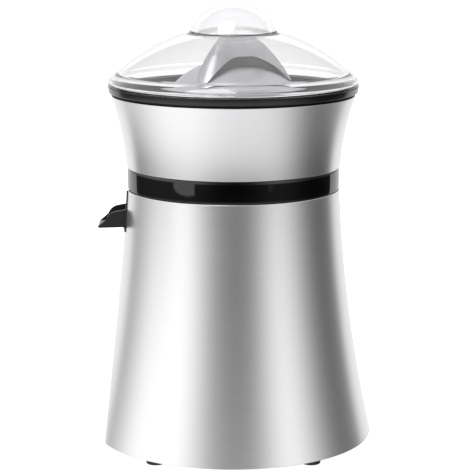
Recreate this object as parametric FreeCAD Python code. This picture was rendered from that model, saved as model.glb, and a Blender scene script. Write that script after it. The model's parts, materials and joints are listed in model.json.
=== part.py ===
import FreeCAD, Part
import math
import os

# Electric citrus press. Millimetres, +Z up. The origin is on the drive axis, at the height
# of the table that the feet stand on. The spout points towards -X and the cord leaves at +Y.

V = FreeCAD.Vector

# ---- driving dimensions ------------------------------------------------------------------
STAND = 6.0               # gap under the skirt's bottom edge
SHEET = 0.9               # steel sheet of the skirt and the bowl jacket
CLEAR = 0.3               # gap between neighbours that don't touch

SKIRT_BASE_R = 95.0
SKIRT_MID_R = 80.4        # outer radius 80 mm above the bottom edge
WAIST_R = 72.2
SKIRT_TOP = STAND + 169.3
HEM = 2.5                 # height of the folded hem at the skirt's top

BAND_R = 71.8
BAND_H = 14.8
JACKET_FOOT = SKIRT_TOP + 15.2
JACKET_MID_R = 75.2
JACKET_TOP_R = 82.2
JACKET_TOP = STAND + 232.6
COLLAR_R = 84.3
COLLAR_FOOT = JACKET_TOP + 1.9
COLLAR_TOP = STAND + 239.0

SLOT_W = 31.0             # slot in the skirt, inside it the frame
SLOT_FLOOR = STAND + 141.0
FRAME_T = 1.5

DECK_TOP = 146.0
DECK_T = 3.0
BOWL_FOOT_R = 67.6
BOWL_WALL = 1.8

GEAR_CENTRES = 30.0       # both gear stages, so the motor and the cone share one axis
PRESSURE_ANGLE = math.radians(25)
PRESS = 3.0               # how far the cone and the shaft go down

MOTOR_MID = 62.0
STACK = 25.0              # height of the lamination stack
ROTOR_R = 16.0
SHAFT_R = 2.5

BOSS_XY = 44.0            # screw bosses of the inner body, on both diagonals
FOOT_X, FOOT_Y = 51.5, 62.0
REST_R = 6.2              # radius of a foot where it meets the table

# cord gland
GLAND_Z = STAND + 18.0
GLAND_NECK_R = 5.5
GLAND_BORE_R = 3.6
GLAND_LENGTH = 12.0
GLAND_OUT = 94.5

# base plate
PLATE_Z = STAND + 1.5
PLATE_T = 3.0

# inner body
HANGERS = [(22.0, -14.0), (-22.0, -14.0), (22.0, 44.0), (-22.0, 44.0)]

# motor
CORE_Z0, CORE_Z1 = MOTOR_MID - STACK / 2, MOTOR_MID + STACK / 2
MOTOR_SCREW_Y = 24.0
LOWER_BAR_Z, UPPER_BAR_Z, BAR_T = 37.0, 84.0, 3.0
CASE_Z, CASE_T = 95.0, 3.0

# gearbox
COVER_Z, COVER_T = 124.0, 3.0
EARS = [(31.5, 9.0), (-31.5, 9.0), (33.0, 34.0), (-33.0, 34.0)]
HUB_R = 8.0
HUB_TOP = 133.0

# drive shaft and switch
DISC_Z = 140.0            # the disc on the shaft that presses the switch
DISC_R = 18.0
SHAFT_TOP = 244.0
PLUNGER_X = -15.8
SPRING_R = 6.2            # mean radius of the return spring's turns
SPRING_TURNS = 3.0
SPRING_WIRE_W, SPRING_WIRE_T = 1.0, 0.8

# juice bowl and spout
TUBE_TOP = 212.0
FLOOR_LOW = 153.5         # floor height at the outlet
FLOOR_RISE = 0.05
PIVOT_X, PIVOT_Z = -71.5, 153.4
SPOUT_W = 27.0
SPOUT_SIDE = 1.7
SPOUT_HEEL = (-69.3, 149.8)
SPOUT_TIP = (-91.6, 150.2)
SPOUT_UNDER = [(-90.6, 149.4), (-76.0, 149.8)]    # underside, from the tip to the heel
SPOUT_FLOOR = [(-60.0, 151.0), (-95.0, 150.7)]    # what the juice runs on, drawn past both ends

# strainer, cone and lid
STRAINER_Z = 234.8
HUB_R_CONE = 9.0
HUB_FOOT, HUB_TIP = 219.0, 268.0
HUB_FLANGE_Z = 246.0
BASE_DOME = [(49.0, 242.6), (40.0, 245.8), (27.0, 255.6), (9.0, 260.2)]
BASE_DOME_T = 1.2
CONE_FOOT, CONE_TIP = 247.0, 280.5
CREST_AT = -123.0         # angle of the first rib, measured from +X
CREST_GROWTH = 6.9        # crest radius over the root of the depth under the tip
SCOOP = (38.5, 248.5, 267.9)   # rim radius, rim height and top of the ball that hollows the cone
CORE_R, CORE_TOP = 14.4, 266.0
RIBS = 3
LID_WALL = 2.0
KNOB_R = 32.0
KNOB_TOP = 300.0


# ---- helpers -----------------------------------------------------------------------------
def box(x0, x1, y0, y1, z0, z1):
    return Part.makeBox(x1 - x0, y1 - y0, z1 - z0, V(x0, y0, z0))


def rod(r, z0, z1, x=0.0, y=0.0):
    return Part.makeCylinder(r, z1 - z0, V(x, y, z0))


def tube(r_out, r_in, z0, z1, x=0.0, y=0.0):
    return rod(r_out, z0, z1, x, y).cut(rod(r_in, z0 - 1, z1 + 1, x, y))


def rod_y(r, y0, y1, x, z):
    return Part.makeCylinder(r, y1 - y0, V(x, y0, z), V(0, 1, 0))


def hexagon(across_flats, z0, z1):
    corner = across_flats / 2 / math.cos(math.pi / 6)
    ring = [V(corner * math.cos(math.radians(60 * i)), corner * math.sin(math.radians(60 * i)), z0)
            for i in range(7)]
    return Part.Face(Part.makePolygon(ring)).extrude(V(0, 0, z1 - z0))


def xz(points):
    """Points (x, z) in the plane y = 0."""
    return [V(x, 0, z) for x, z in points]


def outline(*pieces):
    """Closed face in the XZ plane: two points make a line, three make an arc."""
    edges = []
    for piece in pieces:
        p = xz(piece)
        edges.append(Part.Arc(*p).toShape() if len(p) == 3 else Part.makeLine(*p))
    return Part.Face(Part.Wire(edges))


def spun(*pieces):
    return outline(*pieces).revolve(V(0, 0, 0), V(0, 0, 1), 360)


def path(points):
    """Straight pieces that join the points and close the outline."""
    return [(a, b) for a, b in zip(points, points[1:] + points[:1])]


def fused(first, *others):
    return first.multiFuse(list(others)).removeSplitter()


def turned(shape, degrees, x=0.0, y=0.0):
    copy = shape.copy()
    copy.rotate(V(x, y, 0), V(0, 0, 1), degrees)
    return copy


def corners(dx, dy):
    return [(sx * dx, sy * dy) for sx in (-1, 1) for sy in (-1, 1)]


# ---- gears -------------------------------------------------------------------------------
def gear(teeth, module, z0, z1, x, y, tooth_at, backlash=0.12):
    """Spur gear with involute flanks, each drawn as an arc through three of its points.

    A tooth is centred on the angle tooth_at, in degrees. The rim is solid to the axis.
    """
    pitch = module * teeth / 2
    base = pitch * math.cos(PRESSURE_ANGLE)
    tip = pitch + 0.95 * module
    root = pitch - 1.2 * module
    start = max(base, root)

    def involute(r):
        a = math.acos(min(1.0, base / r))
        return math.tan(a) - a

    half = math.pi / 2 / teeth - backlash / 2 / pitch + involute(pitch)

    def at(r, angle):
        return V(x + r * math.cos(angle), y + r * math.sin(angle), z0)

    edges = []
    step = 2 * math.pi / teeth
    for i in range(teeth):
        mid = math.radians(tooth_at) + i * step
        low, high = mid - half + involute(start), mid + half - involute(start)
        mean = (start + tip) / 2
        if start > root + 0.01:
            edges.append(Part.makeLine(at(root, low), at(start, low)))
        edges.append(Part.Arc(at(start, low), at(mean, mid - half + involute(mean)),
                              at(tip, mid - half + involute(tip))).toShape())
        edges.append(Part.Arc(at(tip, mid - half + involute(tip)), at(tip, mid),
                              at(tip, mid + half - involute(tip))).toShape())
        edges.append(Part.Arc(at(tip, mid + half - involute(tip)),
                              at(mean, mid + half - involute(mean)), at(start, high)).toShape())
        if start > root + 0.01:
            edges.append(Part.makeLine(at(start, high), at(root, high)))
        following = low + step
        edges.append(Part.Arc(at(root, high), at(root, (high + following) / 2),
                              at(root, following)).toShape())
    return Part.Face(Part.Wire(edges)).extrude(V(0, 0, z1 - z0))


# ---- outer shell of the base ---------------------------------------------------------------
def glass_flat(inset):
    """What is cut off the skirt under the spout, so that a glass stands close to it."""
    near = [(-87.1 + inset, STAND), (-81.5 + inset, STAND + 60), (-78.3 + inset, STAND + 95)]
    low, high = (near[0][0], -1.0), (-130.0, STAND + 95)
    face = outline(near, (near[2], high), (high, (-130.0, -1.0)), ((-130.0, -1.0), low),
                   (low, near[0]))
    face.translate(V(0, -70, 0))
    return face.extrude(V(0, 140, 0))


def skirt_solid(inset):
    """The skirt filled solid, with its outside moved in by inset."""
    flare = [(SKIRT_BASE_R - inset, STAND), (SKIRT_MID_R - inset, STAND + 80),
             (WAIST_R - inset, SKIRT_TOP)]
    solid = spun(flare, (flare[2], (0, SKIRT_TOP)), ((0, SKIRT_TOP), (0, STAND)),
                 ((0, STAND), flare[0]))
    return solid.cut(glass_flat(inset))


def slot_block(width, floor):
    return box(-100, -55, -width / 2, width / 2, floor, SKIRT_TOP + 1)


def skirt_shell():
    shell = skirt_solid(0).cut(skirt_solid(SHEET))
    hem = skirt_solid(SHEET).cut(skirt_solid(2 * SHEET))
    hem = hem.common(box(-100, 100, -100, 100, SKIRT_TOP - HEM, SKIRT_TOP))
    shell = fused(shell, hem)
    shell = shell.cut(slot_block(SLOT_W, SLOT_FLOOR))
    return shell.cut(rod_y(GLAND_NECK_R, 80, 100, 0, GLAND_Z))


def slot_frame():
    frame = slot_block(SLOT_W, SLOT_FLOOR).cut(slot_block(SLOT_W - 2 * FRAME_T, SLOT_FLOOR + FRAME_T))
    frame = frame.common(skirt_solid(-1.0))
    return frame.cut(rod(70.2, 100, 200))


# ---- cord gland ----------------------------------------------------------------------------
def cord_gland():
    neck = rod_y(GLAND_NECK_R, GLAND_OUT - GLAND_LENGTH, GLAND_OUT, 0, GLAND_Z)
    flange = rod_y(7.6, GLAND_OUT - 1.5, GLAND_OUT, 0, GLAND_Z)
    nut = rod_y(7.6, GLAND_OUT - GLAND_LENGTH, GLAND_OUT - 7.0, 0, GLAND_Z)
    wide = fused(neck, flange, nut)
    return wide.cut(rod_y(GLAND_BORE_R, 70, 100, 0, GLAND_Z))


# ---- base plate, screws and feet -----------------------------------------------------------
def base_plate():
    top = PLATE_Z + PLATE_T
    fits = skirt_solid(SHEET + CLEAR)
    plate = fits.common(box(-100, 100, -100, 100, PLATE_Z, top))
    rim = fits.cut(skirt_solid(SHEET + CLEAR + 2)).common(box(-100, 100, -100, 100, top, top + 6))
    plate = fused(plate, rim)
    cuts = [rod(3.0, 0, 20, x, y) for x, y in corners(FOOT_X, FOOT_Y)]
    cuts += [rod(2.2, 0, 20, x, y) for x, y in corners(BOSS_XY, BOSS_XY)]
    cuts += [turned(box(24, 46, -1.6, 1.6, 0, 20), 15 + 30 * i) for i in range(12)]
    return plate.cut(cuts[0].multiFuse(cuts[1:]))


def foot(x, y):
    pad = Part.makeCone(REST_R, 7.2, PLATE_Z, V(x, y, 0))
    stem = rod(3.0, PLATE_Z, PLATE_Z + PLATE_T, x, y)
    barb = Part.makeCone(4.2, 2.2, 3.0, V(x, y, PLATE_Z + PLATE_T))
    return fused(pad, stem, barb)


def screw(x, y, head_z, tip_z, r=1.6, head_r=3.2, head_h=2.0):
    """Pan head screw: the head stands at head_z on the side away from the tip."""
    up = 1 if head_z > tip_z else -1
    low, high = sorted((head_z, tip_z))
    head = rod(head_r, *sorted((head_z, head_z + up * head_h)), x, y)
    slot = box(x - head_r, x + head_r, y - 0.5, y + 0.5, *sorted((head_z + up * (head_h - 0.9),
                                                                head_z + up * (head_h + 1))))
    return fused(rod(r, low, high, x, y), head.cut(slot))


def base_screws():
    return Part.makeCompound([screw(x, y, PLATE_Z, 34.0, 1.6, 4.0, 1.4)
                              for x, y in corners(BOSS_XY, BOSS_XY)])


# ---- inner body ------------------------------------------------------------------------------
def inner_body():
    deck = rod(70.1, DECK_TOP - DECK_T, DECK_TOP)
    rim = tube(70.1, 68.1, DECK_TOP, SKIRT_TOP - 0.6)
    boss = rod(9.2, DECK_TOP, DECK_TOP + 4)
    legs = [rod(5.0, PLATE_Z + PLATE_T, DECK_TOP - DECK_T, x, y) for x, y in corners(BOSS_XY, BOSS_XY)]
    body = fused(deck, rim, boss, *legs)
    cuts = [slot_block(SLOT_W, SLOT_FLOOR + FRAME_T), rod(7.5, 100, 200)]
    cuts += [rod(1.6, 0, 34.0, x, y) for x, y in corners(BOSS_XY, BOSS_XY)]
    cuts += [rod(1.9, 100, 200, x, y) for x, y in HANGERS]
    return body.cut(cuts[0].multiFuse(cuts[1:]))


def deck_bush():
    return tube(7.5, 5.06, DECK_TOP - DECK_T, DECK_TOP + 5)


def shaft_seal():
    lip = Part.makeCone(8.6, 6.4, 2.6, V(0, 0, DECK_TOP + 5))
    return lip.cut(rod(5.1, 100, 200))


# ---- motor -----------------------------------------------------------------------------------
def motor_stator():
    core = box(-30, 46, -30, 30, CORE_Z0, CORE_Z1)
    window = box(21, 36, -18, 18, 0, 100)
    cuts = [rod(ROTOR_R + 0.4, 0, 100), window]
    cuts += [rod(2.2, 0, 100, 0, s * MOTOR_SCREW_Y) for s in (-1, 1)]
    cuts += [rod(2.6, 0, 100, x, y) for x, y in corners(13.6, 13.6)]
    return core.cut(cuts[0].multiFuse(cuts[1:]))


def motor_coil():
    winding = box(26, 55, -16.5, 16.5, CORE_Z0 - 9, CORE_Z1 + 9)
    winding = winding.makeFillet(4, [e for e in winding.Edges if abs(e.tangentAt(0).y) > 0.9])
    leg = box(36 - CLEAR, 46 + CLEAR, -40, 40, CORE_Z0 - CLEAR, CORE_Z1 + CLEAR)
    return winding.cut(leg)


def bracket(bar_z, core_face, boss_z0, boss_z1, extra):
    """Bar across the motor with a bearing boss and two posts that stand on the core."""
    bar = box(-8, 8, -28, 28, bar_z, bar_z + BAR_T)
    boss = rod(8.0, boss_z0, boss_z1)
    low, high = sorted((core_face, bar_z + BAR_T / 2))
    posts = [rod(4.0, low, high, 0, s * MOTOR_SCREW_Y) for s in (-1, 1)]
    shape = fused(bar, boss, *posts, *extra)
    cuts = [rod(5.5, 0, 100)] + [rod(2.2, 0, 100, 0, s * MOTOR_SCREW_Y) for s in (-1, 1)]
    return shape.cut(cuts[0].multiFuse(cuts[1:]))


def lower_bracket():
    return bracket(LOWER_BAR_Z, CORE_Z0, 34.5, 42.5, [])


def upper_bracket():
    spacers = [rod(4.0, UPPER_BAR_Z + BAR_T, CASE_Z, 0, s * MOTOR_SCREW_Y) for s in (-1, 1)]
    return bracket(UPPER_BAR_Z, CORE_Z1, 81.5, 89.5, spacers)


def motor_bearings():
    return Part.makeCompound([tube(5.5, SHAFT_R + 0.06, z, z + 8) for z in (34.5, 81.5)])


def motor_screws():
    return Part.makeCompound([screw(0, s * MOTOR_SCREW_Y, LOWER_BAR_Z, CASE_Z + 2, 1.9, 3.8, 2.4)
                              for s in (-1, 1)])


def rotor_core():
    core = rod(ROTOR_R, CORE_Z0 - 1, CORE_Z1 + 1)
    return core.cut(rod(SHAFT_R, 0, 100))


def rotor_shaft():
    return rod(SHAFT_R, 31.0, 107.5)


def motor_pinion():
    return gear(12, 0.8, 99.5, 107.5, 0, 0, 90).cut(rod(SHAFT_R, 90, 110))


def cooling_fan():
    hub = rod(5.0, 90.4, 94.4)
    disc = rod(18.5, 90.4, 91.4)
    blades = [turned(box(4.5, 18.5, -0.6, 0.6, 90.9, 94.2), 40 * i) for i in range(9)]
    return fused(hub, disc, *blades).cut(rod(SHAFT_R, 80, 100))


# ---- gearbox ---------------------------------------------------------------------------------
def gearbox_outline(inset, z0, z1):
    main = rod(29.5 - inset, z0, z1).fuse(rod(31.0 - inset, z0, z1, 0, GEAR_CENTRES))
    return main.removeSplitter()


def gearbox_case():
    case = gearbox_outline(0, CASE_Z, COVER_Z).cut(gearbox_outline(2.5, CASE_Z + CASE_T, COVER_Z + 1))
    ears = [rod(4.5, COVER_Z - 12, COVER_Z, x, y) for x, y in EARS]
    ears = ears[0].multiFuse(ears[1:]).cut(gearbox_outline(1.0, 0, 200))
    case = case.fuse(ears).removeSplitter()
    cuts = [rod(4.0, 90, 99), rod(SHAFT_R, CASE_Z + 1, 99, 0, GEAR_CENTRES)]
    cuts += [rod(1.9, 90, CASE_Z + 2, 0, s * MOTOR_SCREW_Y) for s in (-1, 1)]
    cuts += [rod(1.5, COVER_Z - 10, COVER_Z + 1, x, y) for x, y in EARS]
    return case.cut(cuts[0].multiFuse(cuts[1:]))


def gearbox_cover():
    plate = gearbox_outline(0, COVER_Z, COVER_Z + COVER_T)
    ears = [rod(4.5, COVER_Z, COVER_Z + COVER_T, x, y) for x, y in EARS]
    boss = rod(13.5, COVER_Z - 2, COVER_Z + 6)
    pillars = [rod(4.0, COVER_Z + COVER_T, DECK_TOP - DECK_T, x, y) for x, y in HANGERS]
    cover = fused(plate, boss, *ears, *pillars)
    cuts = [rod(11.0, 100, 200), rod(SHAFT_R, COVER_Z - 1, COVER_Z + 1.5, 0, GEAR_CENTRES)]
    cuts += [rod(1.6, 132, 150, x, y) for x, y in HANGERS]
    cuts += [rod(1.8, 100, 130, x, y) for x, y in EARS]
    return cover.cut(cuts[0].multiFuse(cuts[1:]))


def gearbox_screws():
    case = [screw(x, y, COVER_Z + COVER_T, COVER_Z - 9, 1.5, 2.8, 1.8) for x, y in EARS]
    hanging = [screw(x, y, DECK_TOP, 133, 1.6, 3.2, 2.0) for x, y in HANGERS]
    return Part.makeCompound(case + hanging)


def idler_axle():
    return rod(SHAFT_R, CASE_Z + 1, COVER_Z + 1.5, 0, GEAR_CENTRES)


def idler_gear():
    wheel = gear(63, 0.8, 99.5, 106.5, 0, GEAR_CENTRES, 270 + 180 / 63)
    pinion = gear(12, 1.25, 106.5, 121.0, 0, GEAR_CENTRES, 270)
    return wheel.fuse(pinion).cut(rod(SHAFT_R + 0.06, 90, 130, 0, GEAR_CENTRES))


def output_gear():
    wheel = gear(36, 1.25, 109.5, 119.5, 0, 0, 90 + 5)
    hub = rod(HUB_R, 107.9, HUB_TOP)
    return wheel.fuse(hub).cut(hexagon(8.2, 112.0, HUB_TOP + 1))


def output_bush():
    return tube(11.0, HUB_R + 0.06, COVER_Z - 2, COVER_Z + 7)


# ---- drive shaft and switch --------------------------------------------------------------------
def drive_shaft():
    lower = hexagon(8.0, 116.0, DISC_Z)
    disc = rod(DISC_R, DISC_Z, DISC_Z + 1.5)
    journal = rod(5.0, DISC_Z, 216.0)
    upper = hexagon(8.0, 216.0, SHAFT_TOP)
    return fused(lower, disc, journal, upper)


def return_spring():
    """Three turns of flat wire: a rectangle carried along a helix."""
    foot = HUB_TOP + 0.1 + SPRING_WIRE_T / 2
    rise = DISC_Z - 0.1 - SPRING_WIRE_T / 2 - foot
    helix = Part.makeHelix(rise / SPRING_TURNS, rise, SPRING_R)
    near, far, half = SPRING_R - SPRING_WIRE_W / 2, SPRING_R + SPRING_WIRE_W / 2, SPRING_WIRE_T / 2
    section = Part.makePolygon(xz([(near, -half), (far, -half), (far, half), (near, half), (near, -half)]))
    coil = Part.Wire(helix.Edges).makePipeShell([section], True, True)
    coil.translate(V(0, 0, foot))
    return coil


def micro_switch():
    case = box(-34.0, -14.2, -3.2, 3.2, COVER_Z + COVER_T, COVER_Z + 12.8)
    tabs = [box(-37.0, -34.0, y, y + 0.8, COVER_Z + 5, COVER_Z + 11) for y in (-2.4, 1.6)]
    body = fused(case, *tabs)
    return body.cut(rod(1.4, 130.0, 150.0, PLUNGER_X, 0))


def switch_plunger():
    return rod(1.3, 134.0, DISC_Z - 0.2, PLUNGER_X, 0)


def terminal_block():
    block = box(-16, 16, 60, 72, PLATE_Z + PLATE_T, 25.0)
    holes = [rod(2.2, 14, 30, x, 66) for x in (-10, 0, 10)]
    return block.cut(holes[0].multiFuse(holes[1:]))


# ---- juice bowl and what it carries --------------------------------------------------------------
def jacket_flare(inset):
    middle = (JACKET_FOOT + 22, JACKET_MID_R - inset)
    return [(WAIST_R - inset, JACKET_FOOT), (middle[1], middle[0]), (JACKET_TOP_R - inset, JACKET_TOP)]


def flared_ring(inset_out, inset_in):
    outer, inner = jacket_flare(inset_out), jacket_flare(inset_in)
    return spun(outer, (outer[2], inner[2]), inner[::-1], (inner[0], outer[0]))


def bowl_jacket():
    hem = flared_ring(SHEET, 2 * SHEET).common(rod(90, JACKET_FOOT, JACKET_FOOT + HEM))
    return flared_ring(0, SHEET).fuse(hem).removeSplitter()


def waist_band():
    band = tube(BAND_R, BAND_R - 1.8, SKIRT_TOP + CLEAR, SKIRT_TOP + CLEAR + BAND_H)
    edges = [e for e in band.Edges if abs(e.BoundBox.XMax - BAND_R) < 0.01 and e.BoundBox.ZLength < 0.01]
    return band.makeFillet(0.5, edges)


def bowl_collar():
    neck = tube(80.8, 79.6, COLLAR_FOOT - 2.5, COLLAR_FOOT)
    flange = tube(COLLAR_R, 79.6, COLLAR_FOOT, COLLAR_TOP)
    edges = [e for e in flange.Edges if abs(e.BoundBox.XMax - COLLAR_R) < 0.01 and e.BoundBox.ZLength < 0.01]
    ring = flange.makeFillet(0.8, edges).fuse(neck).removeSplitter()
    return ring.cut(rod(81.6, COLLAR_TOP - 2.0, COLLAR_TOP + 1))


def juice_bowl():
    shoulder = SKIRT_TOP + 1.0
    side = [(69.6, JACKET_FOOT + 1), (72.8, JACKET_FOOT + 23), (79.3, 236.0)]
    under = DECK_TOP + 0.4
    outer = [(0, under), (BOWL_FOOT_R, under), (BOWL_FOOT_R, shoulder), (69.6, shoulder + 1.5)]
    top = [(79.3, COLLAR_TOP - 2.5), (0, COLLAR_TOP - 2.5)]
    w = BOWL_WALL
    solid = spun((outer[0], outer[1]), (outer[1], outer[2]), (outer[2], outer[3]), (outer[3], side[0]),
                 side, (side[2], top[0]), (top[0], top[1]), (top[1], outer[0]))
    inside = [(x - w, z) for x, z in side]
    low, ledge = (BOWL_FOOT_R - w, 100), (BOWL_FOOT_R - w, shoulder + w)
    hollow = spun(((0, 100), low), (low, ledge), (ledge, inside[0]), inside,
                  (inside[2], (79.3 - w, 260)), ((79.3 - w, 260), (0, 260)), ((0, 260), (0, 100)))
    wall = solid.cut(hollow)
    reach = BOWL_FOOT_R - 0.5
    slope = [(-reach, FLOOR_LOW), (reach, FLOOR_LOW + 2 * reach * FLOOR_RISE)]
    underside = [(x, z - BOWL_WALL) for x, z in slope[::-1]]
    slab = outline(*path(slope + underside))
    slab.translate(V(0, -80, 0))
    floor = slab.extrude(V(0, 160, 0)).common(rod(reach, 100, 200))
    tower = rod(11.5, DECK_TOP + 3.5, TUBE_TOP)
    chute = box(-72.5, -BOWL_FOOT_R + 2, -9.5, 9.5, FLOOR_LOW - 1.0, 160.0)
    knuckles = [rod_y(2.1, y, y + 2.0, PIVOT_X, PIVOT_Z) for y in (-11.5, 9.5)]
    bowl = fused(wall, floor, tower, chute, *knuckles)
    cuts = [rod(9.5, 100, 260), box(-80, -60, -8, 8, FLOOR_LOW, 161.0)]
    cuts += [rod_y(1.25, y, y + 4, PIVOT_X, PIVOT_Z) for y in (-12.0, 8.0)]
    return bowl.cut(cuts[0].multiFuse(cuts[1:]))


def spout_pins():
    return Part.makeCompound([rod_y(1.25, y, y + 4.6, PIVOT_X, PIVOT_Z) for y in (-13.2, 8.6)])


def spout():
    """Open trough. Its rim runs level out of the slot, then curves down to the tip."""
    rim_in, rim_out = (-72.5, 162.0), (-80.0, 160.6)
    bend = [rim_out, (-83.6, 158.6), (-86.2, 154.8)]
    back = (SPOUT_HEEL[0], 156.0)
    lip, knee = SPOUT_UNDER
    side = outline((SPOUT_HEEL, back), (back, rim_in), (rim_in, rim_out), bend, (bend[2], SPOUT_TIP),
                   (SPOUT_TIP, lip), (lip, knee), (knee, SPOUT_HEEL))
    side.translate(V(0, -SPOUT_W / 2, 0))
    trough = side.extrude(V(0, SPOUT_W, 0))
    inner = outline(*path(SPOUT_FLOOR + [(-95, 170), (-60, 170)]))
    half = SPOUT_W / 2 - SPOUT_SIDE
    inner.translate(V(0, -half, 0))
    trough = trough.cut(inner.extrude(V(0, 2 * half, 0)))
    return trough.cut(rod_y(1.32, -20, 20, PIVOT_X, PIVOT_Z))


# ---- strainer, cone and lid ------------------------------------------------------------------------
def strainer():
    plate = tube(76.6, 12.0, STRAINER_Z, STRAINER_Z + 2.4)
    wall = tube(76.6, 74.8, STRAINER_Z, COLLAR_TOP - 0.6)
    lip = tube(81.3, 74.8, COLLAR_TOP - 1.9, COLLAR_TOP - 0.4)
    boss = tube(15.0, 12.0, STRAINER_Z, HUB_FLANGE_Z - PRESS - 1.5)
    ring = fused(plate, wall, lip, boss)
    long_slot = box(46.0, 72.5, -0.9, 0.9, 230, 240)
    short_slot = box(20.0, 40.0, -0.9, 0.9, 230, 240)
    slots = [turned(long_slot, 10 * i) for i in range(36)]
    slots += [turned(short_slot, 20 * i) for i in range(18)]
    return ring.cut(slots[0].multiFuse(slots[1:]))


def dome_cap(rim_r, rim_z, top_z):
    """Part of a ball above the circle of radius rim_r at height rim_z."""
    rise = top_z - rim_z
    ball_r = (rim_r ** 2 + rise ** 2) / 2 / rise
    ball = Part.makeSphere(ball_r, V(0, 0, top_z - ball_r))
    return ball.common(rod(rim_r + 5, rim_z, top_z + 1))


def base_dome_solid(drop):
    """The dome under the cone filled solid: straight brim, then an arc, lowered by drop."""
    brim, edge, middle, top = [(x, z - drop) for x, z in BASE_DOME]
    foot = BASE_DOME[0][1] - drop
    return spun((brim, edge), [edge, middle, top], (top, (0, top[1])), ((0, top[1]), (0, foot)),
                ((0, foot), brim))


def cone_base():
    shell = base_dome_solid(0).cut(base_dome_solid(BASE_DOME_T))
    return shell.cut(rod(HUB_R_CONE, 200, 300))


def thrust_washer():
    return tube(13.5, HUB_R_CONE + 0.3, HUB_FLANGE_Z - 1.2, HUB_FLANGE_Z - 0.2)


def crest_radius(z):
    """The ribs' outline is a parabola from the tip down."""
    return CREST_GROWTH * math.sqrt(CONE_TIP - z)


def cone_section(z, shrink):
    """Ribs with wide hollow flutes between them, as one smooth closed curve."""
    crest = crest_radius(z)
    flute = crest * (0.5 + 0.25 * (CONE_TIP - z) / (CONE_TIP - CONE_FOOT))
    turn = math.radians(CREST_AT)
    points = []
    for i in range(12 * RIBS):
        a = 2 * math.pi * i / (12 * RIBS)
        ridge = ((1 + math.cos(RIBS * a)) / 2) ** 2.5
        r = flute + (crest - flute) * ridge - shrink
        points.append(V(r * math.cos(a + turn), r * math.sin(a + turn), z))
    curve = Part.BSplineCurve()
    curve.interpolate(points, PeriodicFlag=True)
    return Part.Wire(curve.toShape())


def reamer():
    outside = [cone_section(z, 0) for z in (CONE_FOOT, 253, 259, 265, 270, 274, 277, 279.4)]
    inside = [cone_section(z, 1.6) for z in (CONE_FOOT - 1, 253, 259, 265, 270, 274)]
    shell = Part.makeLoft(outside, True, False).cut(Part.makeLoft(inside, True, False))
    return shell.cut(dome_cap(*SCOOP).fuse(rod(60, 240, SCOOP[1])))


def reamer_hub():
    hub = rod(HUB_R_CONE, HUB_FOOT, HUB_TIP)
    flange = rod(13.0, HUB_FLANGE_Z, HUB_FLANGE_Z + 2)
    core = rod(CORE_R, 255.0, CORE_TOP).cut(base_dome_solid(0))
    return fused(hub, flange, core).cut(hexagon(8.2, HUB_FOOT - 1, SHAFT_TOP + 1.0))


def lid_solid(inset):
    """Lid filled solid: short upright rim, wide dome and a ball-shaped knob on top."""
    t = inset
    foot = (84.2 - t, COLLAR_TOP + 0.2)
    rim = (83.9 - t, 248.0 - 0.2 * t)
    edge = [rim, (81.8 - 0.75 * t, 250.6 - 0.65 * t), (77.9 - 0.6 * t, 253.8 - 0.8 * t)]
    dome = [edge[2], (55.8 - 0.45 * t, 269.8 - 0.9 * t), (26.0, 280.6 - 0.95 * t)]
    top = (0, dome[2][1])
    low = spun((foot, rim), edge, dome, (dome[2], top), (top, (0, foot[1])), ((0, foot[1]), foot))
    ball = Part.makeSphere(KNOB_R - t, V(0, 0, KNOB_TOP - KNOB_R))
    return low.fuse(ball.common(rod(60, foot[1] + 20, KNOB_TOP + 1))).removeSplitter()


def lid():
    return lid_solid(0).cut(lid_solid(LID_WALL))


# ---- write every piece -------------------------------------------------------------------------------
PIECES = {
    "skirt_shell": skirt_shell, "slot_frame": slot_frame, "cord_gland": cord_gland,
    "base_plate": base_plate, "base_screws": base_screws, "inner_body": inner_body,
    "deck_bush": deck_bush, "shaft_seal": shaft_seal, "motor_stator": motor_stator,
    "motor_coil": motor_coil, "lower_bracket": lower_bracket, "upper_bracket": upper_bracket,
    "motor_bearings": motor_bearings, "motor_screws": motor_screws, "rotor_core": rotor_core,
    "rotor_shaft": rotor_shaft, "motor_pinion": motor_pinion, "cooling_fan": cooling_fan,
    "gearbox_case": gearbox_case, "gearbox_cover": gearbox_cover,
    "gearbox_screws": gearbox_screws, "idler_axle": idler_axle, "idler_gear": idler_gear,
    "output_gear": output_gear, "output_bush": output_bush, "drive_shaft": drive_shaft,
    "return_spring": return_spring, "micro_switch": micro_switch,
    "switch_plunger": switch_plunger, "terminal_block": terminal_block,
    "bowl_jacket": bowl_jacket, "waist_band": waist_band, "bowl_collar": bowl_collar,
    "juice_bowl": juice_bowl, "spout_pins": spout_pins, "spout": spout, "strainer": strainer,
    "cone_base": cone_base, "thrust_washer": thrust_washer, "reamer": reamer,
    "reamer_hub": reamer_hub, "lid": lid,
}
FEET = {"foot_front_left": (-1, -1), "foot_front_right": (1, -1),
        "foot_rear_left": (-1, 1), "foot_rear_right": (1, 1)}

os.makedirs("parts", exist_ok=True)
for name, make in PIECES.items():
    shape = make()
    shape.exportStep("parts/" + name + ".step")
    print(name, len(shape.Solids), round(shape.Volume), shape.isValid())
for name, (side, depth) in FEET.items():
    foot(side * FOOT_X, depth * FOOT_Y).exportStep("parts/" + name + ".step")
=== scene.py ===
# %% [markdown]
# # An electric citrus press in brushed steel
# This notebook dresses a finished CAD model. The CAD says where every part is; here each
# visible part gets a smoother skin and a material made of shader nodes. The frame comes first,
# because every new piece is placed by the box of the CAD node that it covers.

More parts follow.
